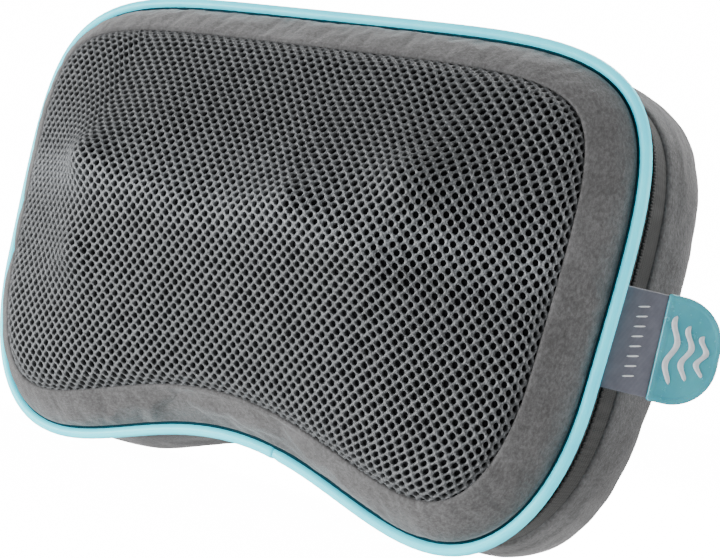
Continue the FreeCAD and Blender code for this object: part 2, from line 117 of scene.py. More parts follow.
def addFloor():
    mesh = bpy.data.meshes.new("floor")
    half = lightSet["floorHalf"]
    corners = [(-half, -half, 0), (half, -half, 0), (half, half, 0), (-half, half, 0)]
    mesh.from_pydata(corners, [], [(0, 1, 2, 3)])
    floor = bpy.data.objects.new("floor", mesh)
    bpy.context.scene.collection.objects.link(floor)
    mat = bpy.data.materials.new("floorPaint")
    mat.use_nodes = True
    shader = mat.node_tree.nodes["Principled BSDF"]
    shader.inputs["Base Color"].default_value = (0.86, 0.86, 0.86, 1)
    shader.inputs["Roughness"].default_value = 0.9
    shader.inputs["Emission Color"].default_value = (1, 1, 1, 1)
    shader.inputs["Emission Strength"].default_value = lightSet["backdrop"] - 0.9
    # the floor is only seen, so the pale surroundings also light the underside
    floor.visible_diffuse = False
    floor.visible_glossy = False
    floor.visible_transmission = False
    floor.visible_shadow = False
    mesh.materials.append(mat)


addCamera()
addLights()
addFloor()
print("camera, lights and floor")


# finishes
class Finish:
    # a Principled material with small helpers for procedural colour and relief

    def __init__(self, name, roughness=0.6, **sockets):
        self.mat = bpy.data.materials.new(name)
        self.mat.use_nodes = True
        self.tree = self.mat.node_tree
        self.shader = self.tree.nodes["Principled BSDF"]
        self.shader.inputs["Roughness"].default_value = roughness
        for key, value in sockets.items():
            self.shader.inputs[key.replace("_", " ")].default_value = value
        self.place = self.tree.nodes.new("ShaderNodeTexCoord").outputs["Object"]

    def add(self, kind, **values):
        node = self.tree.nodes.new("ShaderNode" + kind)
        for key, value in values.items():
            if key in node.inputs:
                node.inputs[key].default_value = value
            else:
                setattr(node, key, value)
        return node

    def link(self, a, b):
        self.tree.links.new(a, b)

    def stretched(self, scale):
        node = self.add("Mapping")
        node.inputs["Scale"].default_value = scale
        self.link(self.place, node.inputs["Vector"])
        return node.outputs["Vector"]

    def noise(self, scale, detail=3.0, roughness=0.55, vector=None):
        node = self.add("TexNoise", Scale=scale, Detail=detail, Roughness=roughness)
        self.link(vector or self.place, node.inputs["Vector"])
        return node.outputs["Fac"]

    def wave(self, scale, direction, distortion, detail):
        node = self.add("TexWave", Scale=scale, Distortion=distortion, Detail=detail)
        node.bands_direction = direction
        self.link(self.place, node.inputs["Vector"])
        return node.outputs["Fac"]

    def cells(self, scale):
        node = self.add("TexVoronoi", Scale=scale)
        self.link(self.place, node.inputs["Vector"])
        return node.outputs["Distance"]

    def maths(self, how, a, b):
        node = self.add("Math")
        node.operation = how
        for value, socket in ((a, node.inputs[0]), (b, node.inputs[1])):
            if isinstance(value, (int, float)):
                socket.default_value = value
            else:
                self.link(value, socket)
        return node.outputs[0]

    def ramp(self, fac, stops):
        node = self.add("ValToRGB")
        element = node.color_ramp.elements
        while len(element) < len(stops):
            element.new(0.5)
        for e, (where, colour) in zip(element, stops):
            e.position = where
            e.color = (*colour, 1) if len(colour) == 3 else colour
        self.link(fac, node.inputs["Fac"])
        return node.outputs["Color"]

    def blendColour(self, fac, a, b, how="MIX"):
        node = self.add("Mix", data_type="RGBA", blend_type=how)
        for value, socket in ((fac, node.inputs[0]), (a, node.inputs[6]), (b, node.inputs[7])):
            if isinstance(value, (int, float)):
                socket.default_value = value
            elif isinstance(value, tuple):
                socket.default_value = (*value, 1)
            else:
                self.link(value, socket)
        return node.outputs[2]

    def colour(self, socket):
        self.link(socket, self.shader.inputs["Base Color"])

    def rough(self, fac, low, high):
        node = self.add("MapRange")
        node.inputs["To Min"].default_value = low
        node.inputs["To Max"].default_value = high
        self.link(fac, node.inputs["Value"])
        self.link(node.outputs["Result"], self.shader.inputs["Roughness"])

    def relief(self, height, distance, strength=1.0):
        node = self.add("Bump", Strength=strength, Distance=distance)
        self.link(height, node.inputs["Height"])
        if self.shader.inputs["Normal"].is_linked:
            self.link(self.shader.inputs["Normal"].links[0].from_socket, node.inputs["Normal"])
        self.link(node.outputs["Normal"], self.shader.inputs["Normal"])


def mixed(colour, factor):
    return tuple(min(1.0, c * factor) for c in colour)


def grainy(name, colour, roughness, grain, distance, spread=0.12, **sockets):
    # moulded, cast or turned surfaces: slight mottling, fine grain and uneven gloss
    f = Finish(name, roughness, **sockets)
    patch = f.noise(45, 4)
    f.colour(f.ramp(patch, [(0.3, mixed(colour, 1 - spread)), (0.7, mixed(colour, 1 + spread))]))
    fine = f.noise(grain, 2)
    f.rough(fine, max(0.05, roughness - 0.08), min(1.0, roughness + 0.08))
    f.relief(fine, distance)
    return f


suedeTone = {"dark": (0.062, 0.060, 0.060), "mid": (0.100, 0.099, 0.100), "light": (0.150, 0.149, 0.152)}


def suedeFinish():
    f = Finish("greySuede", 0.92, Sheen_Weight=0.4, Sheen_Roughness=0.4, Specular_IOR_Level=0.18)
    brushed = f.noise(38, 5, 0.6, f.stretched((1, 1, 1.6)))
    nap = f.noise(620, 5, 0.75, f.stretched((1, 1.3, 0.8)))
    both = f.maths("ADD", f.maths("MULTIPLY", brushed, 0.25), f.maths("MULTIPLY", nap, 0.75))
    f.colour(f.ramp(both, [(0.36, suedeTone["dark"]), (0.5, suedeTone["mid"]), (0.64, suedeTone["light"])]))
    f.relief(f.noise(240, 4, 0.7), 0.0004, 0.5)
    f.relief(nap, 0.0004, 0.8)
    return f.mat


# the last entry is painted light and shade: a multiplier on the yarn colour by height, lightest along the
# crest over the nodes and darker above it
meshTone = {"shade": (0.012, 0.013, 0.014), "yarn": (0.095, 0.103, 0.111), "glint": (0.37, 0.395, 0.415),
            "paintedCrestLightShade": ((0.42, 0.54), (0.50, 0.57), (0.565, 1.0), (0.625, 0.66), (0.74, 0.45), (0.92, 0.50))}


def meshFinish(name, shade):
    f = Finish(name, 0.6, Sheen_Weight=0.12, Specular_IOR_Level=0.6)
    knit = f.noise(1500, 3, 0.6, f.stretched((1, 1, 0.5)))
    patch = f.noise(30, 3)
    tone = f.ramp(knit, [(0.32, mixed(meshTone["shade"], 1.5)), (0.5, meshTone["yarn"]),
                         (0.68, meshTone["glint"])])
    soft = f.blendColour(f.maths("MULTIPLY", patch, 0.5), tone, meshTone["yarn"])
    # painted light and shade by height on the object: the yarn colour is multiplied lighter in a band along
    # the crest over the nodes and darker above it
    split = f.add("SeparateXYZ")
    f.link(f.place, split.inputs[0])
    waver = f.maths("MULTIPLY", f.noise(16, 2), 0.06)
    level = f.maths("ADD", f.maths("MULTIPLY", split.outputs[2], 4), waver)
    paintedCrestLightShade = f.ramp(level, [(where, (grey,) * 3) for where, grey in meshTone["paintedCrestLightShade"]])
    f.colour(f.blendColour(1.0, f.blendColour(shade, soft, meshTone["shade"]), paintedCrestLightShade, "MULTIPLY"))
    f.rough(knit, 0.32, 0.62)
    f.relief(knit, 0.0002, 0.8)
    return f.mat


def liningFinish():
    f = Finish("blackLining", 0.9, Specular_IOR_Level=0.1)
    knit = f.noise(1200, 2)
    f.colour(f.ramp(knit, [(0.35, (0.004, 0.004, 0.005)), (0.7, (0.014, 0.014, 0.016))]))
    f.relief(knit, 0.0002)
    return f.mat


pipingTone = {"deep": (0.030, 0.72, 0.92), "face": (0.055, 0.88, 1.0), "shine": (0.12, 0.97, 1.0)}


def pipingFinish():
    # the aqua emission is painted light: the piping glows faintly though it is no lamp
    f = Finish("aquaSatinPaintedGlow", 0.38, Sheen_Weight=0.1, Specular_IOR_Level=0.4,
               Emission_Color=(0.0, 0.5, 0.8, 1), Emission_Strength=0.45)
    patch = f.noise(60, 4)
    thread = f.noise(1400, 3, 0.6, f.stretched((1, 2.2, 1)))
    both = f.maths("ADD", f.maths("MULTIPLY", patch, 0.6), f.maths("MULTIPLY", thread, 0.4))
    f.colour(f.ramp(both, [(0.3, pipingTone["deep"]), (0.5, pipingTone["face"]),
                           (0.75, pipingTone["shine"])]))
    f.rough(thread, 0.30, 0.50)
    f.relief(thread, 0.00012, 0.6)
    f.relief(f.noise(170, 2), 0.0004, 0.4)
    return f.mat


tapeTone = {"dark": (0.012, 0.012, 0.0115), "mid": (0.027, 0.027, 0.026), "light": (0.056, 0.056, 0.054)}


def tapeFinish():
    f = Finish("wovenTape", 0.8, Sheen_Weight=0.1, Specular_IOR_Level=0.25)
    weft = f.wave(420, "Z", 1.2, 2)
    weftX = f.wave(420, "X", 1.2, 2)
    warp = f.wave(300, "Y", 0.6, 1)
    across = f.maths("MULTIPLY", f.maths("MAXIMUM", weft, weftX), 0.5)
    weave = f.maths("ADD", across, f.maths("MULTIPLY", warp, 0.5))
    both = f.maths("ADD", f.maths("MULTIPLY", weave, 0.6), f.maths("MULTIPLY", f.noise(500, 3), 0.4))
    f.colour(f.ramp(both, [(0.3, tapeTone["dark"]), (0.55, tapeTone["mid"]), (0.85, tapeTone["light"])]))
    f.relief(weave, 0.00022, 0.8)
    return f.mat


ribbonTone = {"dark": (0.080, 0.083, 0.108), "light": (0.150, 0.155, 0.190)}


def ribbonFinish():
    f = Finish("satinRibbon", 0.45, Sheen_Weight=0.2, Specular_IOR_Level=0.45)
    rib = f.wave(620, "Z", 0.4, 1)
    both = f.maths("ADD", f.maths("MULTIPLY", rib, 0.45), f.maths("MULTIPLY", f.noise(220, 4), 0.55))
    f.colour(f.ramp(both, [(0.3, ribbonTone["dark"]), (0.75, ribbonTone["light"])]))
    f.relief(rib, 0.00012, 0.7)
    return f.mat


gelTone = {"deep": (0.060, 0.38, 0.47), "face": (0.095, 0.48, 0.57)}


def gelFinish(name, deep, face, clear):
    f = Finish(name, 0.22, Transmission_Weight=clear, IOR=1.42, Coat_Weight=0.3, Coat_Roughness=0.12)
    f.shader.inputs["Subsurface Weight"].default_value = 0.35
    f.shader.inputs["Subsurface Scale"].default_value = 0.004
    f.colour(f.ramp(f.noise(70, 3), [(0.3, deep), (0.7, face)]))
    f.rough(f.noise(300, 3), 0.16, 0.34)
    f.relief(f.noise(120, 2), 0.0002, 0.3)
    return f.mat


def foamFinish():
    f = Finish("openFoam", 0.95, Specular_IOR_Level=0.1)
    cell = f.cells(700)
    f.colour(f.ramp(cell, [(0.1, (0.30, 0.30, 0.31)), (0.6, (0.19, 0.19, 0.20))]))
    f.relief(cell, 0.0006)
    return f.mat


def boardFinish():
    f = Finish("greenBoard", 0.4, Coat_Weight=0.3)
    track = f.cells(350)
    f.colour(f.ramp(track, [(0.25, (0.02, 0.16, 0.07)), (0.5, (0.03, 0.25, 0.11))]))
    f.relief(track, 0.0001)
    return f.mat


def turned(name, colour, roughness, scale):
    # machined metal with fine rings and a little wear
    f = Finish(name, roughness, Metallic=1.0)
    scratch = f.noise(scale, 3, 0.6, f.stretched((1, 9, 1)))
    f.colour(f.ramp(scratch, [(0.25, mixed(colour, 0.72)), (0.75, mixed(colour, 1.1))]))
    f.rough(scratch, roughness - 0.1, roughness + 0.16)
    f.relief(scratch, 0.00004, 0.6)
    return f.mat


finishes = {
    "mesh": meshFinish("spacerMesh", 0.0),
    "lining": liningFinish(),
    "suede": suedeFinish(),
    "piping": pipingFinish(),
    "zipper_tape": tapeFinish(),
    "zipper_teeth": grainy("nylonCoil", (0.014, 0.014, 0.014), 0.6, 900, 0.00008, Specular_IOR_Level=0.3).mat,
    "zipper_metal": grainy("blackEnamel", (0.05, 0.05, 0.053), 0.32, 500, 0.00004, Metallic=0.6).mat,
    "tag": ribbonFinish(),
    "gel": gelFinish("tealGel", gelTone["deep"], gelTone["face"], 0.25),
    "foam": foamFinish(),
    "chassis": grainy("blackAbs", (0.035, 0.035, 0.037), 0.55, 1200, 0.00008).mat,
    "bronze": turned("sinteredBronze", (0.62, 0.42, 0.20), 0.38, 500),
    "steel": turned("turnedSteel", (0.60, 0.60, 0.61), 0.25, 700),
    "acetal": grainy("whiteAcetal", (0.74, 0.74, 0.70), 0.35, 500, 0.00003, 0.05).mat,
    "arm": grainy("filledNylon", (0.05, 0.05, 0.055), 0.5, 1500, 0.0001, 0.2).mat,
    "core": grainy("paleAbs", (0.5, 0.52, 0.53), 0.42, 900, 0.00005, 0.06).mat,
    "node_gel": gelFinish("nodeGel", (0.04, 0.34, 0.42), (0.09, 0.46, 0.54), 0.1),
    "magnet": grainy("ferrite", (0.05, 0.05, 0.053), 0.6, 800, 0.0001).mat,
    "rotor": turned("laminations", (0.34, 0.27, 0.22), 0.4, 400),
    "motor": turned("zincPlate", (0.55, 0.55, 0.54), 0.32, 300),
    "control": grainy("greyAbs", (0.04, 0.04, 0.043), 0.5, 1400, 0.00012, Specular_IOR_Level=0.4).mat,
    "button": grainy("aquaGloss", (0.20, 0.60, 0.70), 0.2, 400, 0.00003, 0.06, Coat_Weight=0.4).mat,
    "board": boardFinish(),
    "lens": grainy("clearLens", (0.75, 0.80, 0.84), 0.12, 300, 0.00002, 0.04, Transmission_Weight=0.7).mat,
}
# the hole walls: the same yarn with painted shade, 60 % towards the dark shade tone
meshWall = meshFinish("spacerMeshWall", 0.6)

for part in frame["record"]["subparts"]:
    obj = nodes[part["node"]]
    obj.data.materials.clear()
    obj.data.materials.append(finishes[part["material_slot"]])
print("finishes on the carried parts")


# the pillow's outline
pillow = {
    "halfWidth": 0.1739,
    "topRise": 0.1535,
    "bottomDrop": 0.1513,
    "topPower": 0.376,
    "bottomPower": 0.912,
    "notchHeight": 0.089,
    "notchSpread": 0.1761,
    "sideTaper": 0.032,
    "pipingRadius": 0.00275,
    "pipingDepth": -0.0145,     # Y of the piping's centre
    "heart": 0.124,             # height of the point that the face is drawn in towards
    "parallelTo": 0.024,        # insets run parallel to the piping up to here
    "drawIn": 0.155,
}
middle = (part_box("back_cover")[0].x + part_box("back_cover")[1].x) / 2


def rawOutline(t):
    s, c = np.sin(t), np.cos(t)
    power = np.where(c >= 0, pillow["topPower"], pillow["bottomPower"])
    x = pillow["halfWidth"] * np.sign(s) * np.abs(s) ** power
    rise = pillow["topRise"] * np.abs(c) ** power
    notch = pillow["notchHeight"] * c * c * np.exp(-((x / pillow["notchSpread"]) ** 2))
    z = np.where(c >= 0, rise, notch - pillow["bottomDrop"] * np.abs(c) ** power)
    lean = np.clip(z / pillow["bottomDrop"], -1, 1)
    return x * (1 + pillow["sideTaper"] * np.sin(lean * math.pi / 2)), z


def evenOutline(count):
    x, z = rawOutline(np.linspace(0, 2 * math.pi, 4001))
    run = np.concatenate([[0], np.cumsum(np.hypot(np.diff(x), np.diff(z)))])
    want = run[-1] * np.arange(count) / count
    return np.interp(want, run, x), np.interp(want, run, z), run[-1]


def ring(inset, count):
    # parallel to the piping near the edge, then drawn in towards the heart of the face
    x, z, around = evenOutline(count)
    reach = max(1, round(count / 176))
    dx, dz = np.roll(x, -reach) - np.roll(x, reach), np.roll(z, -reach) - np.roll(z, reach)
    long = np.hypot(dx, dz)
    lift = pillow["pipingRadius"] - z.min()
    parallel = min(inset, pillow["parallelTo"])
    x, z = x + dz / long * parallel, z - dx / long * parallel + lift
    drawIn = 1 - (inset - parallel) / pillow["drawIn"]
    return x * drawIn, pillow["heart"] + (z - pillow["heart"]) * drawIn


def smoothProfile(points, count):
    # an even run of places along a soft curve through the points
    p = np.array(points, float)
    p = np.vstack([2 * p[0] - p[1], p, 2 * p[-1] - p[-2]])
    fine = []
    for i in range(1, len(p) - 2):
        for t in np.linspace(0, 1, 24, endpoint=False):
            a = 2 * p[i] + (p[i + 1] - p[i - 1]) * t
            b = (2 * p[i - 1] - 5 * p[i] + 4 * p[i + 1] - p[i + 2]) * t * t
            c = (3 * p[i] - 3 * p[i + 1] + p[i + 2] - p[i - 1]) * t ** 3
            fine.append((a + b + c) / 2)
    fine = np.array(fine + [p[-2]])
    run = np.concatenate([[0], np.cumsum(np.hypot(*np.diff(fine, axis=0).T))])
    want = np.linspace(0, run[-1], count)
    return np.column_stack([np.interp(want, run, fine[:, k]) for k in (0, 1)])


def ringCoords(profile, count):
    # rows of points (x, y, z), one row for each (depth, inset) of the profile
    rows = []
    for y, inset in profile:
        x, z = ring(inset, count)
        rows.append(np.column_stack([x + middle, np.full(count, y), z]))
    return np.array(rows)


def newObject(name, coords, faces, finish):
    mesh = bpy.data.meshes.new(name)
    mesh.from_pydata([tuple(c) for c in coords], [], [tuple(f) for f in faces])
    for m in finish if isinstance(finish, list) else [finish]:
        mesh.materials.append(m)
    mesh.polygons.foreach_set("use_smooth", [True] * len(mesh.polygons))
    mesh.update()
    obj = bpy.data.objects.new(name, mesh)
    bpy.context.scene.collection.objects.link(obj)
    return obj


def gridFaces(rows, count, closedRows=False, keep=None):
    faces = []
    for r in range(rows if closedRows else rows - 1):
        nextRow = (r + 1) % rows
        for i in range(count):
            if keep is not None and not keep[r, i]:
                continue
            j = (i + 1) % count
            faces.append((r * count + i, r * count + j, nextRow * count + j, nextRow * count + i))
    return faces


def barFaces(faces, base, rings, sides):
    # the skin of a short closed bar, from rings of points that start at the base
    for i in range(rings - 1):
        for k in range(sides):
            n = (k + 1) % sides
            faces.append((base + i * sides + k, base + i * sides + n,
                          base + (i + 1) * sides + n, base + (i + 1) * sides + k))
    faces.append([base + k for k in range(sides)])
    faces.append([base + (rings - 1) * sides + k for k in range(sides)])


def capFaces(rows, count):
    # fans the last ring to one middle point
    last = (rows - 1) * count
    return [(last + i, last + (i + 1) % count, rows * count) for i in range(count)]


def getCoords(obj):
    co = np.empty(len(obj.data.vertices) * 3)
    obj.data.vertices.foreach_get("co", co)
    return co.reshape(-1, 3)


def setCoords(obj, co):
    obj.data.vertices.foreach_set("co", np.asarray(co, np.float64).ravel())
    obj.data.update()


def faceOut(obj):
    # all faces turned outwards
    import bmesh
    bm = bmesh.new()
    bm.from_mesh(obj.data)
    bmesh.ops.recalc_face_normals(bm, faces=bm.faces)
    bm.to_mesh(obj.data)
    bm.free()


def applyAll(obj):
    dg = bpy.context.evaluated_depsgraph_get()
    made = bpy.data.meshes.new_from_object(obj.evaluated_get(dg))
    obj.modifiers.clear()
    obj.data = made


def subdivide(obj):
    obj.modifiers.new("finer", "SUBSURF").levels = 1
    applyAll(obj)


def inflate(obj, held, pressure, cap, slack=0.0, steps=20):
    # a short cloth run that fills the cover from inside, then is made part of the mesh
    rest = getCoords(obj)
    group = obj.vertex_groups.new(name="held")
    group.add([int(v) for v in held], 1.0, "REPLACE")
    cloth = obj.modifiers.new("Cloth", "CLOTH")
    cloth.settings.quality = 5
    cloth.settings.mass = 0.25
    cloth.settings.tension_stiffness = 12
    cloth.settings.compression_stiffness = 12
    cloth.settings.shear_stiffness = 6
    cloth.settings.bending_stiffness = 0.4
    cloth.settings.use_pressure = True
    cloth.settings.uniform_pressure_force = pressure
    cloth.settings.shrink_min = -slack
    cloth.settings.shrink_max = -slack
    cloth.settings.vertex_group_mass = "held"
    cloth.settings.effector_weights.gravity = 0
    cloth.point_cache.frame_start = 1
    cloth.point_cache.frame_end = steps
    for step in range(1, steps + 1):
        bpy.context.scene.frame_set(step)
    dg = bpy.context.evaluated_depsgraph_get()
    shown = obj.evaluated_get(dg).to_mesh()
    moved = np.empty(len(rest) * 3)
    shown.vertices.foreach_get("co", moved)
    obj.evaluated_get(dg).to_mesh_clear()
    shift = np.nan_to_num(moved.reshape(-1, 3) - rest)
    size = np.linalg.norm(shift, axis=1, keepdims=True)
    shift *= np.minimum(1, cap / np.maximum(size, 1e-9))
    obj.modifiers.clear()
    obj.vertex_groups.clear()
    setCoords(obj, rest + shift)
    bpy.context.scene.frame_set(1)
    print("filled", obj.name, "moved up to", round(float(np.minimum(size, cap).max()) * 1000, 2), "mm")


def layers(around, seed, waves):
    # a smooth repeating noise round the rim, one value for each column
    rng = np.random.default_rng(seed)
    t = np.linspace(0, 2 * math.pi, around, endpoint=False)
    total = np.zeros(around)
    for wave in waves:
        total += np.cos(wave * t + rng.uniform(0, 2 * math.pi)) * rng.uniform(0.5, 1.0)
    return total / max(1e-9, np.abs(total).max())


# the stretched face
face = {
    "edgeInset": 0.0205,
    "edgeHeight": 0.0335,      # how far the seam stands in front of Y = 0
    "dive": 1.7,               # slope of the mesh where it turns down into its seam
    "grid": 0.0015,
    "settleSteps": 2600,
    "softenSteps": 4,
    # where the crest of the mesh runs over the nodes: x, z and height, then two lone bumps
    "ridge": ((-0.094, 0.144, 0.0700), (-0.067, 0.136, 0.0670), (-0.034, 0.132, 0.0668),
              (-0.010, 0.129, 0.0655), (0.030, 0.140, 0.0710), (0.050, 0.130, 0.0680),
              (0.0735, 0.127, 0.0668)),
    "ridgeRadius": 0.015,
    "bumps": ((0.0830, 0.157, 0.0668), (-0.093, 0.100, 0.0600)),
    "bumpRadius": 0.022,
    "headHeight": 0.138,
    "headOut": 0.062,
    "orbit": 0.028,
    "nodeDepth": 0.0385,       # the turning massage nodes' middles, in front of Y = 0
    "nodeRadius": 0.0170,
    "nodeRoom": 0.0034,        # kept free in front of the nodes all the way round
    "liningUnder": 0.0026,
    # inset from the piping and height of the foam ring under the mesh
    "foamInset": (0.0205, 0.0235, 0.030, 0.045, 0.060, 0.080),
    "foamHeight": (0.0335, 0.0385, 0.0408, 0.0430, 0.0445, 0.0460),
}


class Face:
    # the height of the tensioned mesh in front of Y = 0, over the pillow's own (x, z)

    def __init__(self):
        step = face["grid"]
        self.xs = np.arange(-0.18, 0.18, step)
        self.zs = np.arange(-0.005, 0.25, step)
        gx, gz = np.meshgrid(self.xs, self.zs, indexing="ij")
        self.inset = self.insetOf(gx, gz)
        foam = np.interp(self.inset, face["foamInset"], face["foamHeight"])
        for side in (-1, 1):
            off = np.hypot(gx - side * face["headOut"], gz - face["headHeight"]) - face["orbit"]
            bulge = np.sqrt(np.maximum(face["nodeRadius"] ** 2 - off ** 2, 0))
            swept = face["nodeDepth"] + face["nodeRoom"] + bulge
            foam = np.maximum(foam, np.where(np.abs(off) < face["nodeRadius"], swept, 0))
        path = face["ridge"]
        for start, end in zip(path[:-1], path[1:]):
            foam = np.maximum(foam, self.roundedBar(gx, gz, start, end, face["ridgeRadius"]))
        for bump in face["bumps"]:
            foam = np.maximum(foam, self.roundedBar(gx, gz, bump, bump, face["bumpRadius"]))
        outside = self.inset < face["edgeInset"]
        edge = face["edgeHeight"] - (face["edgeInset"] - self.inset) * face["dive"]
        height = np.where(outside, edge, foam)
        for _ in range(face["settleSteps"]):
            around = height.copy()
            around[1:-1, 1:-1] = (height[2:, 1:-1] + height[:-2, 1:-1]
                                  + height[1:-1, 2:] + height[1:-1, :-2]) / 4
            height = np.where(outside, edge, np.maximum(foam, around))
        for _ in range(face["softenSteps"]):
            soft = height.copy()
            soft[1:-1, 1:-1] = (4 * height[1:-1, 1:-1] + height[2:, 1:-1] + height[:-2, 1:-1]
                                + height[1:-1, 2:] + height[1:-1, :-2]) / 8
            height = soft
        self.height = height
        self.slopeX, self.slopeZ = np.gradient(height, step)
        origin = int(round(0.18 / step)), int(round((pillow["heart"] + 0.005) / step))
        runX = np.cumsum(np.sqrt(1 + self.slopeX ** 2) * step, axis=0)
        runZ = np.cumsum(np.sqrt(1 + self.slopeZ ** 2) * step, axis=1)
        self.runX = runX - runX[origin[0]:origin[0] + 1, :]
        self.runZ = runZ - runZ[:, origin[1]:origin[1] + 1]

    def roundedBar(self, gx, gz, start, end, radius):
        # a round-topped bar under the cloth from one crest point to the next
        alongX, alongZ = end[0] - start[0], end[1] - start[1]
        long = max(alongX ** 2 + alongZ ** 2, 1e-12)
        t = np.clip(((gx - start[0]) * alongX + (gz - start[1]) * alongZ) / long, 0, 1)
        away = np.hypot(gx - start[0] - t * alongX, gz - start[1] - t * alongZ)
        top = start[2] + t * (end[2] - start[2])
        bar = top - radius + np.sqrt(np.maximum(radius ** 2 - away ** 2, 0))
        return np.where(away < radius * 0.95, bar, 0)

    def insetOf(self, gx, gz):
        # distance in from the piping near the rim, and the drawn-in measure further in
        rimX, rimZ = ring(0, 352)
        flat = np.column_stack([gx.ravel(), gz.ravel()])
        near = np.full(len(flat), 9.0)
        for x, z in zip(rimX, rimZ):
            near = np.minimum(near, np.hypot(flat[:, 0] - x, flat[:, 1] - z))
        inX, inZ = ring(pillow["parallelTo"], 352)
        angle = np.arctan2(inZ - pillow["heart"], inX)
        order = np.argsort(angle)
        reach = np.hypot(inX, inZ - pillow["heart"])
        here = np.arctan2(flat[:, 1] - pillow["heart"], flat[:, 0])
        full = np.interp(here, angle[order], reach[order], period=2 * math.pi)
        rimAngle = np.arctan2(rimZ - pillow["heart"], rimX)
        rimOrder = np.argsort(rimAngle)
        rimReach = np.hypot(rimX, rimZ - pillow["heart"])
        rim = np.interp(here, rimAngle[rimOrder], rimReach[rimOrder], period=2 * math.pi)
        r = np.hypot(flat[:, 0], flat[:, 1] - pillow["heart"])
        deep = pillow["parallelTo"] + pillow["drawIn"] * (1 - r / full)
        inset = np.where(r > rim, -near, np.where(r > full, near, deep))
        return inset.reshape(gx.shape)

    def sample(self, values, x, z):
        i = np.clip((x - self.xs[0]) / face["grid"], 0, len(self.xs) - 2)
        k = np.clip((z - self.zs[0]) / face["grid"], 0, len(self.zs) - 2)
        i0, k0 = i.astype(int), k.astype(int)
        fi, fk0 = i - i0, k - k0
        low = values[i0, k0] * (1 - fi) + values[i0 + 1, k0] * fi
        high = values[i0, k0 + 1] * (1 - fi) + values[i0 + 1, k0 + 1] * fi
        return low * (1 - fk0) + high * fk0

    def unroll(self, u, v):
        # from distances along the cloth to (x, z)
        x, z = u * 0.92, pillow["heart"] + v * 0.92
        for _ in range(30):
            x = x + 0.6 * (u - self.sample(self.runX, x, z))
            z = z + 0.6 * (v - self.sample(self.runZ, x, z))
        return x, z

    def points(self, x, z, below=0.0):
        h = self.sample(self.height, x, z)
        sx, sz = self.sample(self.slopeX, x, z), self.sample(self.slopeZ, x, z)
        long = np.sqrt(1 + sx * sx + sz * sz)
        return np.column_stack([x + middle + below * sx / long, -h + below / long, z + below * sz / long])


stretched = Face()
print("face shape settled")

meshPanel = {
    "across": 0.0052,
    "up": 0.0030,
    "holeAcross": 0.00142,     # half widths of a hole
    "holeUp": 0.00168,
    "deep": 0.0024,
    "roll": 0.00034,           # how far a hole's rim lies under the strands' crests
    "knot": 0.00014,           # extra height where strands cross
    "stopInset": 0.0172,
    "seed": 7,
}


def buildMeshPanel():
    m = meshPanel
    rows, columns = int(0.16 / m["up"]), int(0.21 / m["across"])
    centres = []
    for r in range(-rows, rows + 1):
        for c in range(-columns, columns + 1):
            centres.append(((c + 0.5 * (r % 2)) * m["across"], r * m["up"]))
    centres = np.array(centres)
    cx, cz = stretched.unroll(centres[:, 0], centres[:, 1])
    centres = centres[stretched.sample(stretched.inset, cx, cz) > m["stopInset"]]
    halfW, rowH = m["across"] / 2, m["up"]
    reach = (halfW ** 2 + rowH ** 2) / 2
    sideUp, top = (reach - halfW ** 2) / rowH, reach / rowH
    corner = [(halfW, sideUp), (0, top), (-halfW, sideUp), (-halfW, -sideUp), (0, -top), (halfW, -sideUp)]
    outer = []
    for k in (0, 1, 2, 3, 4, 5):
        a, b = corner[k], corner[(k + 1) % 6]
        outer.append(a)
        if k not in (2, 5):
            outer.append(((a[0] + b[0]) / 2, (a[1] + b[1]) / 2))
    outer = np.array(outer)
    count = len(outer)
    angle = np.arctan2(outer[:, 1] / m["holeUp"], outer[:, 0] / m["holeAcross"])
    hole = np.column_stack([np.cos(angle) * m["holeAcross"], np.sin(angle) * m["holeUp"]])
    rng = np.random.default_rng(m["seed"])
    size = 1 + rng.normal(0, 0.045, (len(centres), 1, 1))
    shift = rng.normal(0, 0.00007, (len(centres), 1, 2))
    rim = (centres[:, None, :] + shift + hole[None] * size).reshape(-1, 2)
    inner = (centres[:, None, :] + shift + hole[None] * size * 0.86).reshape(-1, 2)
    crest = (centres[:, None, :] + outer[None]).reshape(-1, 2)
    key = np.round(crest / 1e-5).astype(np.int64)
    unique, first, back = np.unique(key, axis=0, return_index=True, return_inverse=True)
    back = back.reshape(-1)
    crestPoint = crest[first]
    isKnot = np.isin(np.arange(len(crest)) % count, (2, 6))[first]
    x, z = stretched.unroll(crestPoint[:, 0], crestPoint[:, 1])
    lift = rng.normal(0, 0.00004, len(x)) - np.where(isKnot, m["knot"], 0)
    crestCo = stretched.points(x, z, lift)
    x, z = stretched.unroll(rim[:, 0], rim[:, 1])
    rimCo = stretched.points(x, z, m["roll"])
    x, z = stretched.unroll(inner[:, 0], inner[:, 1])
    innerCo = stretched.points(x, z, m["deep"])
    coords = np.vstack([crestCo, rimCo, innerCo])
    rimStart, innerStart = len(crestCo), len(crestCo) + len(rimCo)
    faces, which = [], []
    for cell in range(len(centres)):
        base = cell * count
        for k in range(count):
            n = (k + 1) % count
            faces.append((back[base + k], back[base + n], rimStart + base + n, rimStart + base + k))
            faces.append((rimStart + base + k, rimStart + base + n,
                          innerStart + base + n, innerStart + base + k))
            which += [0, 1]
    obj = newObject("spacer_mesh", coords, faces, [finishes["mesh"], meshWall])
    obj.data.polygons.foreach_set("material_index", which)
    print("mesh panel with", len(centres), "holes and", len(faces) * 2, "triangles")
    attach(obj, "pillow")
    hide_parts("mesh_panel")


under = {
    "columns": 240,
    "liningThick": 0.0006,
    "foamFrom": 0.0215,
    "foamTo": 0.0520,
    "foamUnder": 0.0042,
    "foamBack": ((-0.0165, 0.0520), (-0.0165, 0.0100), (-0.0230, 0.0160), (-0.0265, 0.0195)),
}


